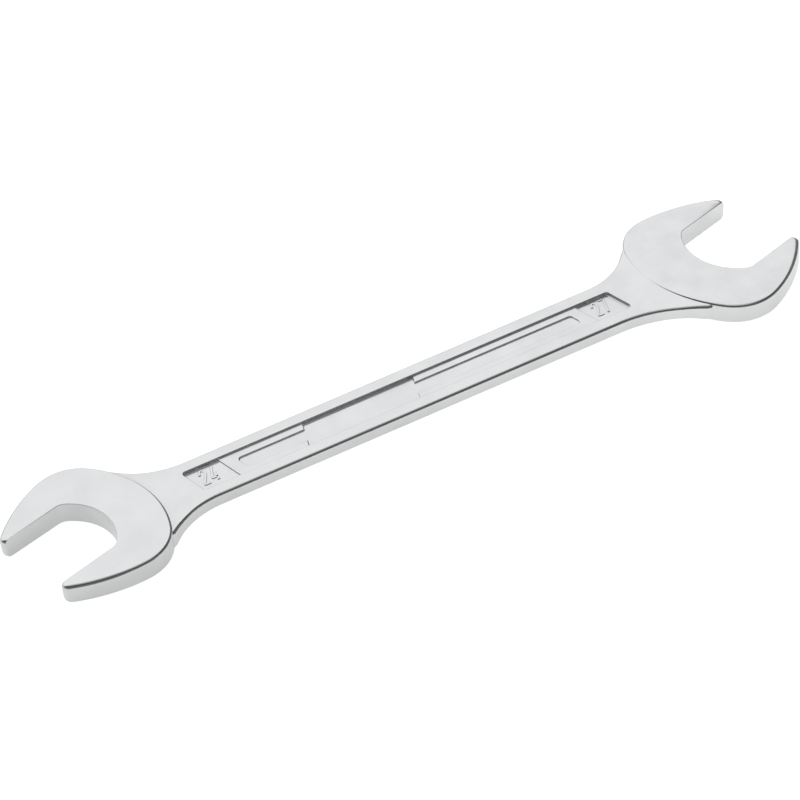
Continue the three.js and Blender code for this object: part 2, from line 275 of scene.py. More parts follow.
@dataclass(frozen=True)
class Outline:
    """A closed outline of arcs and lines, walked anticlockwise."""

    parts: tuple[Arc | Line, ...]

    def placed(self, turn: float, origin: Array) -> "Outline":
        """Turns the outline about zero by an angle in radians, then moves it."""
        return Outline(tuple(part.placed(turn, origin) for part in self.parts))

    def ring(self, inset: float) -> list[Array]:
        """Draws the outline again, moved inwards, as one run of points for each part."""
        runs = [part.points(inset) for part in self.parts]
        return [run for run in runs if len(run) > 1]

    def polygon(self) -> Array:
        """Gives the outline as the corners of a closed polygon."""
        return np.vstack([run[:-1] for run in self.ring(0.0)])

    def holds(self, xy: Array) -> Array:
        """Tells which points are inside the outline's polygon.

        Args:
            xy: one row for each point.

        Returns:
            True for each point inside.
        """
        x, y = xy.T
        inside = np.zeros(len(xy), dtype=bool)
        corners = self.polygon()
        for near, far in zip(corners, np.roll(corners, -1, axis=0)):
            if near[1] != far[1]:
                spans = (near[1] > y) != (far[1] > y)
                reach = near[0] + (y - near[1]) / (far[1] - near[1]) * (far[0] - near[0])
                inside ^= spans & (x < reach)
        return inside

    def depth(self, xy: Array) -> tuple[Array, Array]:
        """Measures how deep inside the outline each point lies.

        Args:
            xy: one row for each point.

        Returns:
            The depths, below zero outside, and the unit vectors along which they grow.
        """
        gap = np.full(len(xy), np.inf)
        away = np.zeros_like(xy)
        inwards = np.zeros_like(xy)
        for part in self.parts:
            place, into = part.nearest(xy)
            offset = xy - place
            distance = np.hypot(offset[:, 0], offset[:, 1])
            overwrite(distance < gap, (gap, away, inwards), (distance, offset, into))
        depth = np.where(self.holds(xy), gap, -gap)
        near = gap < CHORD_GAP
        depth[near] = np.sum(away * inwards, axis=1)[near]
        inwards[~near] = (away / depth[:, None])[~near]
        return depth, inwards


def rounded(corners: list[Pair], radii: list[float]) -> Outline:
    """Joins corners by lines and rounds each one.

    Args:
        corners: the corners of a bulging polygon, walked anticlockwise.
        radii: the radius of each corner.

    Returns:
        The outline.
    """
    places = [np.array(corner) for corner in corners]
    arcs = []
    for i, (place, radius) in enumerate(zip(places, radii)):
        before = unit(places[i - 1] - place)
        after = unit(places[(i + 1) % len(places)] - place)
        half = math.acos(float(before @ after)) / 2
        centre = place + unit(before + after) * radius / math.sin(half)
        start = angle_of(place + before * radius / math.tan(half) - centre)
        arcs.append(Arc(centre, radius, start, start + math.pi - 2 * half))
    parts = []
    for arc, following in zip(arcs, arcs[1:] + arcs[:1]):
        parts.extend([arc, *bridge(arc, following)])
    return Outline(tuple(parts))


@dataclass(frozen=True)
class Wall:
    """The profile of a sunken wall: a round rim, a straight drafted stretch and a round foot."""

    drop: float
    rim: float
    foot: float
    draft_degrees: float

    @property
    def steepness(self) -> float:
        """The slope angle of the straight stretch, in radians."""
        return math.radians(90 - self.draft_degrees)

    @property
    def marks(self) -> tuple[float, float, float]:
        """Where in plan the rim ends, the foot starts and the foot ends.

        Returns:
            The three distances from the start of the rim.
        """
        slope = self.steepness
        straight = (self.drop - (self.rim + self.foot) * (1 - math.cos(slope))) / math.tan(slope)
        rim_end = self.rim * math.sin(slope)
        foot_start = rim_end + straight
        return rim_end, foot_start, foot_start + self.foot * math.sin(slope)

    def stations(self) -> list[float]:
        """Lists the plan distances at which the profile is drawn.

        Returns:
            The distances from the start of the rim.
        """
        rim_end, foot_start, foot_end = self.marks
        angles = np.linspace(0.0, self.steepness, ROUND_STEPS)
        middle = np.linspace(rim_end, foot_start, STRAIGHT_STEPS + 1)[1:-1]
        return sorted([*self.rim * np.sin(angles), *middle, *foot_end - self.foot * np.sin(angles)])

    def fall(self, run: Array) -> tuple[Array, Array]:
        """Works out the profile.

        Args:
            run: the plan distances from the start of the rim.

        Returns:
            How far the surface has dropped at each, and its slope there.
        """
        rim_end, foot_start, foot_end = self.marks
        slope = math.tan(self.steepness)
        on_rim = np.clip(run, 0.0, rim_end)
        on_foot = np.clip(foot_end - run, 0.0, foot_end - foot_start)
        rim_rise = np.sqrt(self.rim**2 - on_rim**2)
        foot_rise = np.sqrt(self.foot**2 - on_foot**2)
        rim_drop = self.rim - rim_rise
        straight_drop = self.rim * (1 - math.cos(self.steepness)) + (run - rim_end) * slope
        foot_drop = self.drop - self.foot + foot_rise
        before = [run < rim_end, run < foot_start]
        drops = np.select(before, [rim_drop, straight_drop], foot_drop)
        return drops, np.select(before, [on_rim / rim_rise, slope], on_foot / foot_rise)


def rounding(depth: Array, width: Array | float, height: float) -> tuple[Array, Array, Array]:
    """Works out a quarter of an ellipse that rises from an outline.

    Args:
        depth: how far inside the outline each point is.
        width: how far in the ellipse is level.
        height: its height there.

    Returns:
        The heights, their slopes by the depth, and their slopes by the width.
    """
    lean = np.clip(1 - depth / width, 0.0, 1.0)
    level = np.sqrt(1 - lean**2)
    ratio = lean / np.maximum(level, 1 / STEEPEST)
    widening = -height * ratio * np.maximum(depth, 0.0) / width**2
    return height * level, height / width * ratio, widening


@dataclass(frozen=True)
class Tip:
    """The end of a prong in plan: an arc, which the jaw's flat later cuts off.

    The reach and the rise are set from the head's widest line and from the flat.
    """

    past_reach: float
    radius: float
    rise: float


TOP_TIP = Tip(past_reach=0.0, radius=1.6, rise=1.6)
NOSE_TIP = Tip(past_reach=1.39, radius=2.25, rise=1.25)


@dataclass(frozen=True)
class Head:
    """One head: its outline about the line where it is widest, and the jaw cut into it."""

    jaw: Jaw
    shoulder: Array
    bearing: float
    half_width: float
    shoulder_radius: float
    back_reach: float
    cheek_radius: float
    tip_reach: float
    throat_setback: float
    throat_radius: float
    throat_corner: float
    jaw_play: float = 0.2
    mouth_depth: float = 6.0
    mouth_overrun: float = 4.0

    @property
    def half_jaw(self) -> float:
        """Half the width between the flats."""
        return (self.jaw.value + self.jaw_play) / 2

    def circles(self, end: Tip = TOP_TIP) -> dict[Circle, tuple[Array, float]]:
        """Works out the circles that the outline's left side runs along.

        Args:
            end: the shape of the prongs' ends.

        Returns:
            The centre and radius of each, in the head's own frame. They touch from inside.
        """
        rise = self.half_width - self.shoulder_radius
        shoulder = np.array([0.0, rise])
        excess = self.back_reach**2 + rise**2 - self.shoulder_radius**2
        back_radius = excess / (2 * (self.back_reach - self.shoulder_radius))
        back = np.array([back_radius - self.back_reach, 0.0])
        tip = np.array([self.tip_reach + end.past_reach - end.radius, self.half_jaw + end.rise])
        to_tip = tip - shoulder
        span = float(np.linalg.norm(to_tip))
        from_shoulder = self.cheek_radius - self.shoulder_radius
        from_tip = self.cheek_radius - end.radius
        along = (from_shoulder**2 - from_tip**2 + span**2) / (2 * span)
        aside = -math.sqrt(from_shoulder**2 - along**2)
        cheek = turned(np.array([along, aside]), angle_of(to_tip)) + shoulder
        return {
            Circle.BACK: (back, back_radius),
            Circle.SHOULDER: (shoulder, self.shoulder_radius),
            Circle.CHEEK: (cheek, self.cheek_radius),
            Circle.TIP: (tip, end.radius),
        }

    def outline(self, end: Tip = TOP_TIP) -> Outline:
        """Draws the head with its mouth closed by two lines that lead well into the jaw.

        Args:
            end: the shape of the prongs' ends.

        Returns:
            The outline in the wrench's frame.
        """
        circles = self.circles(end)
        centres = {circle: centre for circle, (centre, _) in circles.items()}
        cheek_end = angle_of(centres[Circle.TIP] - centres[Circle.CHEEK])
        shoulder_end = angle_of(centres[Circle.SHOULDER] - centres[Circle.CHEEK])
        back_end = angle_of(centres[Circle.SHOULDER] - centres[Circle.BACK])
        left = [
            Arc(*circles[Circle.TIP], -math.pi / 2, cheek_end),
            Arc(*circles[Circle.CHEEK], cheek_end, shoulder_end),
            Arc(*circles[Circle.SHOULDER], shoulder_end, back_end),
        ]
        back = Arc(*circles[Circle.BACK], back_end, 2 * math.pi - back_end)
        right = [arc.mirrored() for arc in reversed(left)]
        mouth = bridge(right[-1], left[0], np.array([self.tip_reach - self.mouth_depth, 0.0]))
        return Outline((*left, back, *right, *mouth)).placed(self.bearing, self.shoulder)

    def slot(self) -> Outline:
        """Draws the space between the flats, back to the hollow of the throat.

        Returns:
            The outline in the wrench's frame.
        """
        half = self.half_jaw
        throat = np.array([self.throat_radius - self.throat_setback, 0.0])
        reach = self.throat_radius - self.throat_corner
        rise = half - self.throat_corner
        corner = np.array([throat[0] - math.sqrt(reach**2 - rise**2), rise])
        corner_end = angle_of(corner - throat)
        left = Arc(corner, self.throat_corner, math.pi / 2, corner_end)
        back = Arc(throat, self.throat_radius, corner_end, 2 * math.pi - corner_end)
        mouth = self.tip_reach + self.mouth_overrun
        flats = joined((corner[0], -half), (mouth, -half), (mouth, half), (corner[0], half))
        outline = Outline((*flats, left, back, left.mirrored()))
        return outline.placed(self.bearing, self.shoulder)

    def root(self) -> Array:
        """Gives a point between the throat and the back, in the wrench's frame."""
        middle = -(self.back_reach + self.throat_setback) / 2
        return turned(np.array([middle, 0.0]), self.bearing) + self.shoulder


@dataclass(frozen=True)
class Flare:
    """One hollow flank of a neck, beside one of its head's circles.

    The stop is how far short of level with the head's side it ends.
    """

    radius: float
    stop: float
    beside: Circle


@dataclass(frozen=True)
class Shank:
    """The shank and both necks, whose flares come level with the heads and are led into them."""

    small: Head
    large: Head
    width_at_small: float = 17.8
    width_at_large: float = 19.7
    small_opening: Flare = Flare(radius=25.2, stop=3.5, beside=Circle.SHOULDER)
    small_back: Flare = Flare(radius=28.0, stop=0.0, beside=Circle.BACK)
    large_opening: Flare = Flare(radius=23.5, stop=3.5, beside=Circle.SHOULDER)
    large_back: Flare = Flare(radius=39.5, stop=5.0, beside=Circle.BACK)
    standoff: float = 0.5
    lead_in_share: float = 0.25
    lead_in_turn: float = math.radians(110)

    def flank(self, head: Head, edge: Array, along: Array, outward: Array,
              flare: Flare) -> list[Arc]:
        """Draws one flare and the tighter turn that leads it deep into the head.

        Args:
            head: the head that the flare runs to.
            edge: a point on the shank's edge.
            along: the edge's direction towards the head.
            outward: the direction away from the shank, square to the edge.
            flare: the flare's sizes.

        Returns:
            Two arcs, walked towards the head.
        """
        centre, circle_radius = head.circles()[flare.beside]
        hand = math.copysign(1.0, outward[1] * math.cos(head.bearing))
        target = turned(centre * np.array([1.0, hand]), head.bearing) + head.shoulder
        opposite = edge + outward * flare.radius
        offset = target - opposite
        forward = float(offset @ along)
        aside = float(offset @ offset) - forward**2
        reach = flare.radius + circle_radius + self.standoff
        place = opposite + along * (forward - math.sqrt(reach**2 - aside))
        inward = unit(target - place)
        turn_radius = self.lead_in_share * head.shoulder_radius
        sense = math.copysign(1.0, cross(along, outward))
        start = angle_of(-outward)
        end = start + (math.acos(float(-outward @ inward)) - flare.stop / flare.radius) * sense
        turn_centre = place + direction(end) * (flare.radius + turn_radius)
        turn_start = end + math.pi
        return [
            Arc(place, flare.radius, start, end),
            Arc(turn_centre, turn_radius, turn_start, turn_start - self.lead_in_turn * sense),
        ]

    def outline(self) -> Outline:
        """Draws the shank and both necks, which end inside the heads.

        Returns:
            The outline in the wrench's frame.
        """
        low_flares = (self.small_opening, self.large_back)
        high_flares = (self.small_back, self.large_opening)
        runs = []
        for side, (small_flare, large_flare) in ((-1.0, low_flares), (1.0, high_flares)):
            at_small = np.array([self.small.shoulder[0], side * self.width_at_small / 2])
            at_large = np.array([self.large.shoulder[0], side * self.width_at_large / 2])
            along = unit(at_large - at_small)
            outward = side * left_of(along)
            to_small = self.flank(self.small, at_small, -along, outward, small_flare)
            to_large = self.flank(self.large, at_large, along, outward, large_flare)
            from_small = [arc.reversed() for arc in reversed(to_small)]
            runs.append([*from_small, *bridge(from_small[-1], to_large[0]), *to_large])
        low, high = runs
        back = [part.reversed() for part in reversed(high)]
        in_large = bridge(low[-1], back[0], self.large.root())
        in_small = bridge(back[-1], low[0], self.small.root())
        return Outline((*low, *in_large, *back, *in_small))


@dataclass(frozen=True)
class Panel:
    """The sunken panel of a face: deep end fields and middle field, and two pads with channels.

    The deep fields are drawn wider than the panel by the overrun, so that its rim cuts them off,
    and their corners outside it or where two of them meet are nearly sharp.
    """

    small: Head
    large: Head
    width: float = 10.4
    corner: float = 1.3
    small_setback: float = 28.7
    large_setback: float = 30.3
    end_field: float = 12.2
    middle_field: float = 37.3
    small_pad: float = 24.0
    end_slant: float = -math.tan(math.radians(15))
    middle_slant: float = math.tan(math.radians(17))
    channel_width: float = 5.0
    channel_margin: float = 3.4
    channel_corner: float = 1.4
    overrun: float = 4.0
    sharp_corner: float = 0.25
    edge: Wall = Wall(drop=1.05, rim=0.32, foot=0.22, draft_degrees=13)
    step: Wall = Wall(drop=0.45, rim=0.3, foot=0.12, draft_degrees=16)

    @property
    def stops(self) -> dict[str, float]:
        """Where the panel's ends, dividers and middle field cross the centre line.

        Returns:
            The place of each along x, by its name.
        """
        left = self.small.shoulder[0] + self.small_setback
        right = self.large.shoulder[0] - self.large_setback
        middle_left = left + self.end_field + self.small_pad
        return {
            "left": left,
            "left_divider": left + self.end_field,
            "middle_left": middle_left,
            "middle_right": middle_left + self.middle_field,
            "right_divider": right - self.end_field,
            "right": right,
        }

    def between(self, ends: Pair, slants: Pair, width: float, corners: Pair) -> Outline:
        """Draws a four sided field between two slanted lines.

        Args:
            ends: where the lines cross the centre line.
            slants: how far each line moves along x for each millimetre of y.
            width: the field's width.
            corners: the radius of the corners at each line.

        Returns:
            The outline.
        """
        half = width / 2
        low = [(end - slant * half, -half) for end, slant in zip(ends, slants)]
        high = [(end + slant * half, half) for end, slant in zip(ends, slants)]
        return rounded([*low, *reversed(high)], [*corners, *reversed(corners)])

    def rim(self) -> Outline:
        """Draws the whole panel."""
        ends, slants = (self.stops["left"], self.stops["right"]), (self.end_slant, self.end_slant)
        return self.between(ends, slants, self.width, (self.corner, self.corner))

    def deeper(self) -> list[Outline]:
        """Draws the fields and channels that are sunk below the pads.

        Returns:
            The outlines of the three fields, then those of the two channels.
        """
        stops = self.stops
        wide = self.width + self.overrun
        centre = (stops["middle_left"] + stops["middle_right"]) / 2
        sharp, closed, end = self.sharp_corner, self.channel_corner, self.end_slant
        fields = [
            ((stops["left"] - wide, stops["left_divider"]), (end, end)),
            ((stops["middle_left"], stops["middle_right"]), (self.middle_slant, self.middle_slant)),
            ((stops["right_divider"], stops["right"] + wide), (end, end)),
        ]
        left_channel = (stops["left_divider"] + self.channel_margin, centre)
        right_channel = (centre, stops["right_divider"] - self.channel_margin)
        return [
            *[self.between(ends, slants, wide, (sharp, sharp)) for ends, slants in fields],
            self.between(left_channel, (end, 0.0), self.channel_width, (closed, sharp)),
            self.between(right_channel, (0.0, end), self.channel_width, (sharp, closed)),
        ]

    def sink(self, xy: Array) -> tuple[Array, Array]:
        """Works out how far the panel is sunk below the face.

        Args:
            xy: one row for each point.

        Returns:
            The depths, and their slopes along x and y.
        """
        inside, into = self.rim().depth(xy)
        wall, wall_slope = self.edge.fall(inside)
        step_run = np.full(len(xy), -np.inf)
        step_way = np.zeros_like(xy)
        for outline in self.deeper():
            depth, way = outline.depth(xy)
            overwrite(depth > step_run, (step_run, step_way), (depth, way))
        fall, fall_slope = self.step.fall(step_run)
        depth = self.edge.drop - self.step.drop + np.where(step_run > 0, fall, 0.0)
        slope = np.where(step_run > 0, fall_slope, 0.0)[:, None] * step_way
        overwrite(wall < depth, (depth, slope), (wall, wall_slope[:, None] * into))
        depth[inside <= 0] = 0.0
        slope[inside <= 0] = 0.0
        return depth, slope


@dataclass
class Forging:
    """The one piece of steel: two heads, two necks and the shank, with a panel in each face."""

    small: Head
    large: Head
    head_thickness: float = 6.7
    shank_thickness: float = 4.4
    edge_round: float = 0.95
    jaw_edge_round: float = 0.18
    neck_swell: float = 0.56
    swell_radius: float = 20.0
    nose_share: float = 0.28
    nose_onset: float = 0.5
    shank: Shank = field(init=False)
    panel: Panel = field(init=False)

    def __post_init__(self) -> None:
        """Draws the shank and the panel from the heads."""
        self.shank = Shank(self.small, self.large)
        self.panel = Panel(self.small, self.large)

    @property
    def heads(self) -> list[Head]:
        """Both heads."""
        return [self.small, self.large]

    @property
    def outlines(self) -> list[Outline]:
        """The outlines of the shank and of both heads, before the jaws are cut."""
        return [self.shank.outline(), *[head.outline(NOSE_TIP) for head in self.heads]]

    def plate(self, depth: Array, into: Array, thickness: float,
              edge: float) -> tuple[Array, Array]:
        """Gives the heights and slopes of a plate with upright sides and a rounded edge."""
        height, slope, _ = rounding(depth, edge, edge)
        return thickness / 2 - edge + height, slope[:, None] * into

    def head_plate(self, head: Head, xy: Array) -> tuple[Array, Array, Array, Array]:
        """Works out the upper surface of a head, whose upright sides turn into noses at the tips.

        Args:
            head: the head.
            xy: one row for each point.

        Returns:
            The heights above the middle plane, their slopes along x and y, how far inside the
            head's widest outline each point is, and the directions along which that grows.
        """
        depth, into = head.outline(NOSE_TIP).depth(xy)
        top_depth, top_into = head.outline(TOP_TIP).depth(xy)
        bulge = np.maximum(depth - top_depth, 0.0)
        growth = into - top_into
        flat, flat_slope = self.plate(depth, into, self.head_thickness, self.edge_round)
        width, half = self.edge_round + bulge, self.head_thickness / 2
        nose, nose_slope, nose_widening = rounding(depth, width, half)
        turn = np.clip(bulge / self.nose_onset, 0.0, 1.0)
        share = self.nose_share * turn**2 * (3 - 2 * turn)
        share_growth = self.nose_share * 6 * turn * (1 - turn) / self.nose_onset
        height = (1 - share) * flat + share * nose
        slope = (1 - share)[:, None] * flat_slope + (share * nose_slope)[:, None] * into
        slope += (share * nose_widening + share_growth * (nose - flat))[:, None] * growth
        return height, slope, depth, into

    @property
    def swell_length(self) -> float:
        """How far outside a head's outline its neck begins to swell."""
        return math.sqrt(self.swell_radius**2 - (self.swell_radius - self.neck_swell) ** 2)

    def swell(self, depth: Array) -> tuple[Array, Array]:
        """Works out how a neck swells towards its head, along a hollow arc.

        Args:
            depth: how far inside the head's outline each point is.

        Returns:
            The rise above the plain neck, and its slope by the depth.
        """
        run = np.clip(self.swell_length + depth, 0.0, self.swell_length + self.edge_round)
        level = np.sqrt(self.swell_radius**2 - run**2)
        return self.swell_radius - level, run / level

    def surface(self, xy: Array) -> tuple[Array, Array]:
        """Works out the whole upper surface.

        Args:
            xy: one row for each point.

        Returns:
            The heights above the middle plane, and the unit normals.
        """
        depth, into = self.shank.outline().depth(xy)
        neck, neck_slope = self.plate(depth, into, self.shank_thickness, self.edge_round)
        neck[depth < -CHORD_GAP] = -np.inf
        height, slope = neck.copy(), neck_slope.copy()
        for head in self.heads:
            top, top_slope, depth, into = self.head_plate(head, xy)
            rise, rise_slope = self.swell(depth)
            swollen = (neck + rise, neck_slope + rise_slope[:, None] * into)
            on_neck = (depth < -CHORD_GAP) | ((depth < self.edge_round) & (swollen[0] > top))
            overwrite(on_neck, (top, top_slope), swollen)
            overwrite(top > height, (height, slope), (top, top_slope))
            cut, away = head.slot().depth(xy)
            flat, flat_slope = self.plate(-cut, -away, self.head_thickness, self.jaw_edge_round)
            overwrite(flat < height, (height, slope), (flat, flat_slope))
        sunk, sunk_slope = self.panel.sink(xy)
        height = height - sunk
        slope = slope - sunk_slope
        normals = np.column_stack([-slope, np.ones(len(xy))])
        return height, normals / np.linalg.norm(normals, axis=1)[:, None]

    def rings(self) -> list[Array]:
        """Lists every curve along which the surface is drawn.

        Returns:
            One run of points for each stretch of each curve.
        """
        shares = 1 - np.sin(np.linspace(0.0, math.pi / 2, ROUND_STEPS + 1))
        steps = np.arange(1, ROUND_STEPS + 1)
        nose = self.edge_round + NOSE_TIP.past_reach * steps / ROUND_STEPS
        swell = -self.swell_length * steps / ROUND_STEPS
        drawn = [(outline, self.edge_round * shares) for outline in self.outlines]
        for head in self.heads:
            drawn.append((head.outline(NOSE_TIP), np.column_stack([nose, swell]).ravel()))
            drawn.append((head.slot(), [*-self.jaw_edge_round * shares[:-1:2], 0.0]))
        drawn.append((self.panel.rim(), self.panel.edge.stations()))
        drawn.extend((outline, self.panel.step.stations()) for outline in self.panel.deeper())
        return [run for outline, insets in drawn for inset in insets for run in outline.ring(inset)]

    def solid(self, xy: Array) -> Array:
        """Tells which points of the plan are steel."""
        cut = np.any([head.slot().holds(xy) for head in self.heads], axis=0)
        return np.any([outline.holds(xy) for outline in self.outlines], axis=0) & ~cut

    def plan(self) -> tuple[Array, Array]:
        """Divides the plan into triangles along every curve.

        Returns:
            One row for each point, and three points for each triangle, walked anticlockwise.
        """
        runs = self.rings()
        starts = np.cumsum([0, *[len(run) for run in runs]])
        spans = [(start, start + len(run) - 1) for start, run in zip(starts, runs)]
        edges = [(i, i + 1) for first, last in spans for i in range(first, last)]
        drawn = [Vector(point) for run in runs for point in run]
        places, _, triangles, *_ = delaunay_2d_cdt(drawn, edges, [], ALL_TRIANGLES, SAME_POINT)
        xy = np.array([tuple(place) for place in places])
        faces = np.array(triangles)
        a, b, c = (xy[faces[:, i]] for i in range(3))
        clockwise = cross(b - a, c - a) < 0
        faces[clockwise] = faces[clockwise][:, ::-1]
        faces = faces[self.solid(xy[faces].mean(axis=1))]
        used, faces = np.unique(faces, return_inverse=True)
        return xy[used], faces.reshape(-1, 3)

    def mesh(self, name: str) -> Mesh:
        """Builds the closed mesh, in metres, about the middle of the wrench's thickness.

        Args:
            name: the mesh's name.

        Returns:
            The mesh, with the exact normals of its surface.
        """
        xy, faces = self.plan()
        upper = np.column_stack([xy, self.surface(xy)[0]])
        count = len(xy)
        border = self.border(faces)
        walls = np.column_stack([border + count, border[:, ::-1]])
        polygons = [*faces.tolist(), *(faces[:, ::-1] + count).tolist(), *walls.tolist()]
        mesh = bpy.data.meshes.new(name)
        mesh.from_pydata((np.vstack([upper, upper * MIRROR]) * MM).tolist(), [], polygons)
        mesh.update()
        mesh.shade_smooth()
        mesh.normals_split_custom_set(self.corner_normals(xy, faces, border).tolist())
        return mesh

    def corner_normals(self, xy: Array, faces: Array, border: Array) -> Array:
        """Works out the normal at every corner of every face.

        Each is taken a hair inside its own face, so that two faces that meet in a crease keep
        their own normals.

        Args:
            xy: one row for each point of the plan.
            faces: three points for each triangle.
            border: two points for each edge of the plan.

        Returns:
            One row for each corner: the upper face, the underside, then the walls.
        """
        corners = xy[faces]
        inner = corners + CREASE_SHARE * (corners.mean(axis=1, keepdims=True) - corners)
        _, normals = self.surface(inner.reshape(-1, 2))
        under = normals.reshape(-1, 3, 3)[:, ::-1].reshape(-1, 3) * MIRROR
        ends = xy[border]
        middles = ends.mean(axis=1)
        places = [end + CREASE_SHARE * (middles - end) for end in (ends[:, 0], ends[:, 1])]
        nearest = np.full(len(middles), np.inf)
        outwards = np.zeros((len(middles), 2, 2))
        sides = [(outline, -1.0) for outline in self.outlines]
        sides.extend((head.slot(), 1.0) for head in self.heads)
        for outline, side in sides:
            gap = np.abs(outline.depth(middles)[0])
            ways = np.stack([side * outline.depth(place)[1] for place in places], axis=1)
            overwrite(gap < nearest, (nearest, outwards), (gap, ways))
        low, high = outwards[:, 0], outwards[:, 1]
        walls = np.stack([low, high, high, low], axis=1).reshape(-1, 2)
        return np.vstack([normals, under, np.column_stack([walls, np.zeros(len(walls))])])

    @staticmethod
    def border(faces: Array) -> Array:
        """Finds the edges that only one triangle has.

        Args:
            faces: three points for each triangle.

        Returns:
            The two points of each such edge, in the triangle's own order.
        """
        walked = [(int(face[i]), int(face[(i + 1) % 3])) for face in faces for i in range(3)]
        known = set(walked)
        return np.array([edge for edge in walked if edge[::-1] not in known])


def link(name: str, mesh: Mesh) -> Object:
    """Makes an object of a mesh and puts it in the scene.

    Args:
        name: the object's name.
        mesh: its mesh.

    Returns:
        The object.
    """
    piece = bpy.data.objects.new(name, mesh)
    bpy.context.scene.collection.objects.link(piece)
    return piece


def linear(hex_colour: str) -> tuple[float, float, float, float]:
    """Turns an sRGB hex colour to linear light, by the curve that the sRGB standard gives.

    Args:
        hex_colour: six hex digits.

    Returns:
        Red, green, blue and one.
    """
    shares = [int(hex_colour[i : i + 2], 16) / 255 for i in (0, 2, 4)]
    light = [s / 12.92 if s <= 0.04045 else ((s + 0.055) / 1.055) ** 2.4 for s in shares]
    return (*light, 1.0)


def empty_tree(owner: Material | World) -> NodeTree:
    """Empties the node tree of a material or a world.

    Args:
        owner: the material or the world.

    Returns:
        Its tree.
    """
    owner.use_nodes = True
    owner.node_tree.nodes.clear()
    return owner.node_tree


def add_node(tree: NodeTree, kind: str, inputs: dict | None = None, **settings: object) -> Node:
    """Adds a node with its settings, values and links.

    Args:
        tree: the node tree.
        kind: the node's type.
        inputs: a value or a socket to link from, for each input's name or index.
        settings: the node's own properties.

    Returns:
        The node.
    """
    node = tree.nodes.new(kind)
    for name, value in settings.items():
        setattr(node, name, value)
    for key, value in (inputs or {}).items():
        if isinstance(value, NodeSocket):
            tree.links.new(value, node.inputs[key])
        else:
            node.inputs[key].default_value = value
    return node


def calculated(tree: NodeTree, operation: str, *values: NodeSocket | float) -> NodeSocket:
    """Adds a math node for one operation on the values."""
    return add_node(tree, "ShaderNodeMath", dict(enumerate(values)), operation=operation).outputs[0]


def mapped(tree: NodeTree, value: NodeSocket, given: Pair, wanted: Pair,
           **settings: object) -> NodeSocket:
    """Adds a node that maps a value from the given range to the wanted one."""
    inputs = dict(zip(MAP_INPUTS, (value, *given, *wanted)))
    return add_node(tree, "ShaderNodeMapRange", inputs, **settings).outputs["Result"]


@dataclass(frozen=True)
class SatinChrome:
    """Decorative chrome plate over a tumbled forging.

    The plate copies the fine pits that tumbling leaves, so it blurs what it mirrors a little, and
    the broad waves of the forging bend the mirrored light from place to place.
    """

    plate: str = "e5e6e6"
    shaded: str = "dbdcdc"
    roughness: float = 0.2
    rougher: float = 0.27
    tone_mm: float = 9.0
    tone_detail: float = 3.0
    tone_shares: Pair = (0.35, 0.65)
    wave_mm: float = 16.0
    wave_detail: float = 1.0
    wave_depth_mm: float = 0.03
    pit_mm: float = 0.35
    pit_detail: float = 2.0
    pit_depth_mm: float = 0.004

    def material(self) -> Material:
        """Builds the material.

        Returns:
            The material.
        """
        material = bpy.data.materials.new("satin_chrome_plate")
        tree = empty_tree(material)
        place = add_node(tree, "ShaderNodeTexCoord").outputs["Object"]

        def noise(size_mm: float, detail: float) -> NodeSocket:
            """Adds noise whose blotches have a real size."""
            values = {"Vector": place, "Scale": 1 / (size_mm * MM), "Detail": detail}
            return add_node(tree, "ShaderNodeTexNoise", values).outputs["Fac"]

        def bumps(height: NodeSocket, depth_mm: float, **under: NodeSocket) -> NodeSocket:
            """Adds bumps of a real depth."""
            values = {"Height": height, "Distance": depth_mm * MM, "Strength": 1.0, **under}
            return add_node(tree, "ShaderNodeBump", values).outputs["Normal"]

        tone = noise(self.tone_mm, self.tone_detail)
        colours = dict(zip(MIX_INPUTS, (linear(self.shaded), linear(self.plate))))
        blend = add_node(tree, "ShaderNodeMix", {"Factor": tone, **colours}, data_type="RGBA")
        waves = bumps(noise(self.wave_mm, self.wave_detail), self.wave_depth_mm)
        pits = bumps(noise(self.pit_mm, self.pit_detail), self.pit_depth_mm, Normal=waves)
        values = {
            "Base Color": blend.outputs[MIX_OUTPUT],
            "Metallic": 1.0,
            "Roughness": mapped(tree, tone, self.tone_shares, (self.rougher, self.roughness)),
            "Normal": pits,
        }
        shader = add_node(tree, "ShaderNodeBsdfPrincipled", values)
        add_node(tree, "ShaderNodeOutputMaterial", {"Surface": shader.outputs["BSDF"]})
        return material


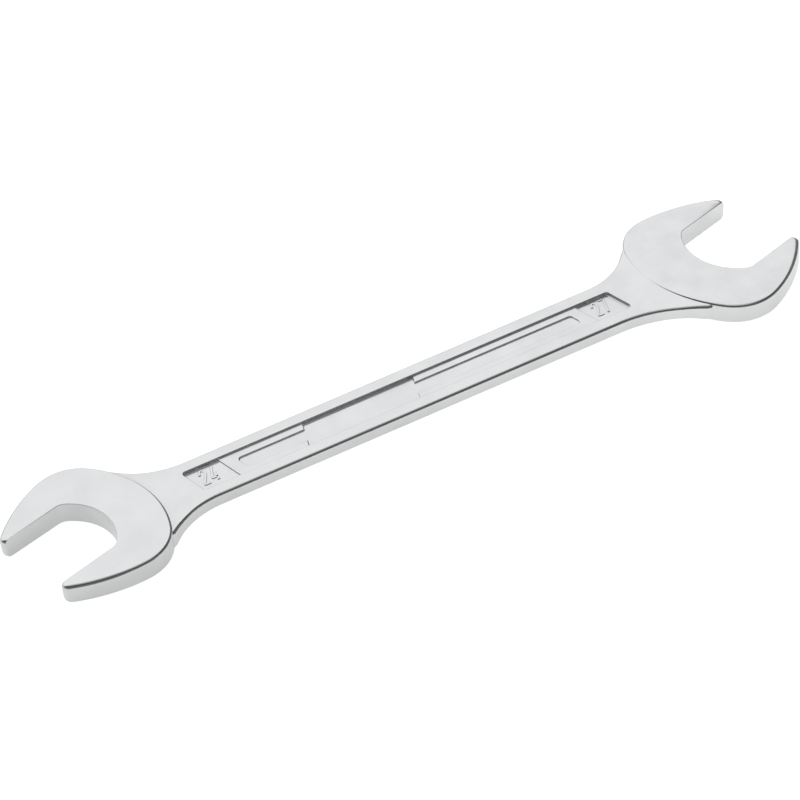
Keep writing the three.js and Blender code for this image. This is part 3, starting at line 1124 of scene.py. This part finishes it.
@dataclass
class Numeral:
    """A plain jaw size, raised from the floor of an end field, as strokes swept along lines."""

    value: int
    height: float = 6.7
    digit_width: float = 2.65
    digit_gap: float = 0.25
    stroke: float = 0.8
    rise: float = 0.2
    buried: float = 0.2
    edge: float = 0.15
    slant: float = math.tan(math.radians(5))
    bowl_share: float = 0.3
    bowl_steps: int = 6
    turn_points: int = 3
    edge_points: int = 4

    def stroke_shares(self) -> dict[str, list[list[Pair]]]:
        """Gives each digit's centre lines as shares of the width and height between them.

        Returns:
            The runs of places for each digit, across and up.
        """
        angles = [math.pi * (1 - i / self.bowl_steps) for i in range(self.bowl_steps + 1)]
        top = 1 - self.bowl_share
        bowl = [((1 + math.cos(a)) / 2, top + self.bowl_share * math.sin(a)) for a in angles]
        return {
            "2": [[*bowl, (0.0, 0.0), (1.0, 0.0)]],
            "4": [[(0.75, 1.0), (0.0, 0.22), (1.0, 0.22)], [(0.8, 0.55), (0.8, 0.0)]],
            "7": [[(0.0, 1.0), (1.0, 1.0), (0.3, 0.0)]],
        }

    def lines(self, centre: Pair) -> list[list[Pair]]:
        """Places the strokes of every digit.

        Args:
            centre: the middle of the numeral, along the shank and across it.

        Returns:
            One run of points for each stroke.
        """
        digits = str(self.value)
        shares = self.stroke_shares()
        span, tall = self.digit_width - self.stroke, self.height - self.stroke
        pitch = self.digit_width + self.digit_gap
        runs = []
        for place, digit in enumerate(digits):
            left = centre[0] + (place - (len(digits) - 1) / 2) * pitch - span / 2
            for line in shares[digit]:
                places = [(left + across * span, (up - 0.5) * tall) for across, up in line]
                runs.append([(x + self.slant * y, centre[1] + y) for x, y in places])
        return runs

    def sweep(self) -> NodeTree:
        """Builds the node group that sweeps a rounded bar along every line.

        Returns:
            The group, with the bar's sizes and material as named inputs.
        """
        tree = bpy.data.node_groups.new("raised_strokes", "GeometryNodeTree")
        sizes = ("Stroke Width", "Stroke Height", "Edge Radius", "Point Spacing")
        kinds = {"Geometry": "Geometry", **dict.fromkeys(sizes, "Float"), "Finish": "Material"}
        for name, kind in kinds.items():
            tree.interface.new_socket(name, in_out="INPUT", socket_type=f"NodeSocket{kind}")
        tree.interface.new_socket("Geometry", in_out="OUTPUT", socket_type="NodeSocketGeometry")
        given = tree.nodes.new("NodeGroupInput").outputs

        def step(kind: str, inputs: dict, **settings: object) -> NodeSocket:
            """Adds one step and gives what comes out of it."""
            return add_node(tree, f"GeometryNode{kind}", inputs, **settings).outputs[0]

        def filleted(curve: NodeSocket, count: int) -> NodeSocket:
            """Rounds a curve's corners."""
            inputs = {"Curve": curve, "Radius": given["Edge Radius"], "Count": count}
            return step("FilletCurve", inputs, mode="POLY")

        lines = step("MeshToCurve", {"Mesh": given["Geometry"]})
        turns = filleted(step("SetCurveNormal", {"Curve": lines}, mode="Z_UP"), self.turn_points)
        spacing = {"Curve": turns, "Length": given["Point Spacing"]}
        path = step("ResampleCurve", spacing, mode="LENGTH")
        section = {"Width": given["Stroke Width"], "Height": given["Stroke Height"]}
        bar = filleted(step("CurvePrimitiveQuadrilateral", section), self.edge_points)
        swept = step("CurveToMesh", {"Curve": path, "Profile Curve": bar, "Fill Caps": True})
        smooth = step("SetShadeSmooth", {"Geometry": swept})
        real = step("RealizeInstances", {"Geometry": smooth})
        dressed = step("SetMaterial", {"Geometry": real, "Material": given["Finish"]})
        add_node(tree, "NodeGroupOutput", {"Geometry": dressed})
        return tree

    def build(self, name: str, centre: Pair, floor: float, face: Face, finish: Material,
              place: Matrix) -> Object:
        """Builds the numeral on one face.

        Args:
            name: the piece's name.
            centre: the middle of the numeral, along the shank and across it.
            floor: the height of the field's floor above the middle plane.
            face: the face that it stands on.
            finish: its material.
            place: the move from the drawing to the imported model.

        Returns:
            The piece, as a plain mesh.
        """
        points, edges = [], []
        for line in self.lines(centre):
            first = len(points)
            points.extend((x * MM, y * MM, 0.0) for x, y in line)
            edges.extend((i, i + 1) for i in range(first, len(points) - 1))
        mesh = bpy.data.meshes.new(f"{name}_lines")
        mesh.from_pydata(points, edges, [])
        drawing = link(f"{name}_drawing", mesh)
        modifier = drawing.modifiers.new("strokes", "NODES")
        modifier.node_group = self.sweep()
        values = {
            "Stroke Width": self.stroke * MM,
            "Stroke Height": (self.rise + self.buried) * MM,
            "Edge Radius": self.edge * MM,
            "Point Spacing": self.edge * MM,
            "Finish": finish,
        }
        for item in modifier.node_group.interface.items_tree:
            if item.in_out == "INPUT" and item.name in values:
                modifier[item.identifier] = values[item.name]
        evaluated = drawing.evaluated_get(bpy.context.evaluated_depsgraph_get())
        swept = bpy.data.meshes.new_from_object(evaluated)
        drawing.modifiers.remove(modifier)
        bpy.data.objects.remove(drawing)
        swept.name = name
        lift = Matrix.Translation((0.0, 0.0, (floor + (self.rise - self.buried) / 2) * MM))
        swept.transform(place @ Matrix.Rotation(face.value, 4, "X") @ lift)
        return link(name, swept)


@dataclass
class Wrench:
    """The wrench: the forging and the raised numerals of both faces."""

    shoulder_span: float = 203.5
    head_offset: float = 0.7
    tilt: float = math.radians(15)
    numeral_shift: Pair = (-0.5, 0.8)
    chrome: SatinChrome = SatinChrome()

    def forging(self) -> Forging:
        """Gives the forging with its two heads.

        Returns:
            The forging.
        """
        small = Head(
            jaw=Jaw.SMALL,
            shoulder=np.array([-self.shoulder_span / 2, self.head_offset]),
            bearing=math.pi + self.tilt,
            half_width=24.14,
            shoulder_radius=13.7,
            back_reach=16.9,
            cheek_radius=46.0,
            tip_reach=22.4,
            throat_setback=2.0,
            throat_radius=15.3,
            throat_corner=3.5,
        )
        large = Head(
            jaw=Jaw.LARGE,
            shoulder=np.array([self.shoulder_span / 2, self.head_offset]),
            bearing=self.tilt,
            half_width=27.14,
            shoulder_radius=15.1,
            back_reach=18.3,
            cheek_radius=50.0,
            tip_reach=25.9,
            throat_setback=0.5,
            throat_radius=16.8,
            throat_corner=4.0,
        )
        return Forging(small, large)

    def build(self) -> None:
        """Builds every piece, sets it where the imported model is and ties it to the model."""
        forging = self.forging()
        finish = self.chrome.material()
        mesh = forging.mesh("wrench_forging")
        corners = np.array([tuple(vertex.co) for vertex in mesh.vertices])
        low, high = corners.min(axis=0), corners.max(axis=0)
        box_low, box_high = np.array(CAD_BOX[0]), np.array(CAD_BOX[1])
        shift = (box_low + box_high - low - high) / 2
        place = Matrix.Translation(shift.tolist())
        mesh.transform(place)
        mesh.materials.append(finish)
        body = link("wrench_forging", mesh)
        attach(body, BODY)
        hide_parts(NODE)
        moved = np.round(shift / MM, 3)
        LOG.info("forging: %d triangles and walls, moved by %s mm", len(mesh.polygons), moved)
        stops = forging.panel.stops
        floor = forging.shank_thickness / 2 - forging.panel.edge.drop
        along, across = self.numeral_shift
        centres = {
            Jaw.SMALL: ((stops["left"] + stops["left_divider"]) / 2 + along, across),
            Jaw.LARGE: ((stops["right_divider"] + stops["right"]) / 2 + along, across),
        }
        for face in Face:
            for jaw, centre in centres.items():
                name = f"numeral_{jaw.name.lower()}_{face.name.lower()}"
                piece = Numeral(jaw.value).build(name, centre, floor, face, finish, place)
                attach(piece, BODY)
                LOG.info("%s: %d faces", name, len(piece.data.polygons))


@dataclass(frozen=True)
class SoftLight:
    """A round patch of soft light on the room's walls or ceiling, with its angles in degrees."""

    azimuth: float
    elevation: float
    bright: float
    edge: float
    strength: float

    @property
    def axis(self) -> tuple[float, float, float]:
        """The direction of the patch's middle. Azimuth 0 is the near side and 90 the right."""
        around, up = math.radians(self.azimuth), math.radians(self.elevation)
        return math.cos(up) * math.sin(around), -math.cos(up) * math.cos(around), math.sin(up)

    def add_to(self, tree: NodeTree, way: NodeSocket) -> NodeSocket:
        """Adds the patch to the world's nodes.

        Args:
            tree: the world's node tree.
            way: the direction that is looked along.

        Returns:
            The patch's brightness in that direction.
        """
        sides = {0: way, 1: self.axis}
        toward = add_node(tree, "ShaderNodeVectorMath", sides, operation="DOT_PRODUCT")
        fade = [math.cos(math.radians(angle)) for angle in (self.bright + self.edge, self.bright)]
        reach, levels = toward.outputs["Value"], (0.0, self.strength)
        return mapped(tree, reach, fade, levels, interpolation_type="SMOOTHSTEP")


@dataclass(frozen=True)
class Studio:
    """A white table, lit from within, and a dim room with soft lights behind, above and aside.

    The lights stop short of the table, so a dim strip runs round the room above it, and a paler
    belt over that. In mirrors the table glows a little brighter towards its right, which is painted
    light on the table.
    """

    table_size: float = 4.0
    table_drop_mm: float = 0.02
    table_colour: str = "d0d0d0"
    seen_glow: float = 0.9
    # The table's glow in mirrors at its left and its right: a painted light gradient, brighter to
    # the right
    mirrored_glow: Pair = (0.54, 0.76)
    glow_span_mm: float = 300.0
    skirting_degrees: Pair = (2.0, 12.0)
    room: str = "f9f9fa"
    backdrop: str = "ffffff"
    dim: float = 0.07
    belt: float = 0.22
    belt_degrees: tuple[float, float, float, float] = (6.0, 18.0, 22.0, 36.0)
    lights: tuple[SoftLight, ...] = (
        SoftLight(azimuth=190, elevation=32, bright=46, edge=8, strength=1.08),
        SoftLight(azimuth=0, elevation=90, bright=10, edge=26, strength=0.55),
        SoftLight(azimuth=50, elevation=10, bright=6, edge=12, strength=0.6),
    )

    def table(self) -> Object:
        """Builds the table top, whose white keeps the wrench's shadow.

        Returns:
            The table top.
        """
        half = self.table_size / 2
        drop = -self.table_drop_mm * MM
        mesh = bpy.data.meshes.new("table_top")
        corners = [(x * half, y * half, drop) for x, y in ((-1, -1), (1, -1), (1, 1), (-1, 1))]
        mesh.from_pydata(corners, [], [(0, 1, 2, 3)])
        material = bpy.data.materials.new("white_laminate")
        tree = empty_tree(material)
        matt = add_node(tree, "ShaderNodeBsdfDiffuse", {"Color": linear(self.table_colour)})
        rays = add_node(tree, "ShaderNodeLightPath").outputs
        seen = calculated(tree, "MULTIPLY", rays["Is Camera Ray"], self.seen_glow)
        # Painted light: in mirrors the table glows in a gradient, dimmer at the left and brighter
        # at the right
        place = add_node(tree, "ShaderNodeTexCoord").outputs["Object"]
        along = add_node(tree, "ShaderNodeSeparateXYZ", {0: place}).outputs["X"]
        reach = self.glow_span_mm * MM / 2
        level = mapped(tree, along, (-reach, reach), self.mirrored_glow)
        glow = calculated(tree, "MULTIPLY_ADD", rays["Is Glossy Ray"], level, seen)
        white = add_node(tree, "ShaderNodeEmission", {"Strength": glow})
        both = add_node(tree, "ShaderNodeAddShader", {0: matt.outputs[0], 1: white.outputs[0]})
        add_node(tree, "ShaderNodeOutputMaterial", {"Surface": both.outputs[0]})
        mesh.materials.append(material)
        return link("table_top", mesh)

    def light(self) -> None:
        """Lights the room and makes it white where the camera sees past the table."""
        world = bpy.data.worlds.new("dim_room_with_soft_lights")
        tree = empty_tree(world)
        way = add_node(tree, "ShaderNodeTexCoord").outputs["Generated"]
        height = add_node(tree, "ShaderNodeSeparateXYZ", {0: way}).outputs["Z"]
        belt = [math.sin(math.radians(degrees)) for degrees in self.belt_degrees]
        skirting = [math.sin(math.radians(degrees)) for degrees in self.skirting_degrees]
        rising = mapped(tree, height, belt[:2], (self.dim, self.belt))
        falling = mapped(tree, height, belt[2:], (self.belt, self.dim))
        level = calculated(tree, "MINIMUM", rising, falling)
        clear = mapped(tree, height, skirting, (0.0, 1.0))
        for light in self.lights:
            above = calculated(tree, "MULTIPLY", light.add_to(tree, way), clear)
            level = calculated(tree, "MAXIMUM", level, above)
        lit = {"Color": linear(self.room), "Strength": level}
        room = add_node(tree, "ShaderNodeBackground", lit).outputs[0]
        plain = {"Color": linear(self.backdrop), "Strength": 1.0}
        backdrop = add_node(tree, "ShaderNodeBackground", plain).outputs[0]
        seen = add_node(tree, "ShaderNodeLightPath").outputs["Is Camera Ray"]
        mixed = add_node(tree, "ShaderNodeMixShader", {"Fac": seen, 1: room, 2: backdrop})
        add_node(tree, "ShaderNodeOutputWorld", {"Surface": mixed.outputs[0]})
        bpy.context.scene.world = world

    def build(self) -> None:
        """Builds the table and the light."""
        self.table()
        self.light()
        bpy.context.scene.view_settings.view_transform = "Standard"
        LOG.info("studio: table and %d soft lights", len(self.lights))


@dataclass(frozen=True)
class PhotoCamera:
    """The camera, placed and turned as the one that took the photograph."""

    position_mm: tuple[float, float, float] = (-268.05, -502.21, 491.01)
    target_mm: tuple[float, float, float] = (-7.69, -1.33, 3.35)
    roll_degrees: float = -4.466
    lens_mm: float = 115.86
    sensor_mm: float = 36.0
    clip: Pair = (0.01, 20.0)

    def build(self) -> None:
        """Builds the camera and makes it the scene's own."""
        data = bpy.data.cameras.new("photo_camera")
        data.lens = self.lens_mm
        data.sensor_width = self.sensor_mm
        data.clip_start, data.clip_end = self.clip
        camera = bpy.data.objects.new("photo_camera", data)
        position = Vector(self.position_mm) * MM
        look = (Vector(self.target_mm) * MM - position).to_track_quat("-Z", "Y")
        roll = Quaternion((0.0, 0.0, 1.0), math.radians(self.roll_degrees))
        camera.location = position
        camera.rotation_mode = "QUATERNION"
        camera.rotation_quaternion = look @ roll
        bpy.context.scene.collection.objects.link(camera)
        bpy.context.scene.camera = camera
        LOG.info("camera: %.1f mm lens", self.lens_mm)


def main() -> None:
    """Builds the camera, the wrench and the studio."""
    logging.basicConfig(level=logging.INFO, format="%(name)s: %(message)s")
    PhotoCamera().build()
    Wrench().build()
    Studio().build()


if __name__ == "__main__":
    main()
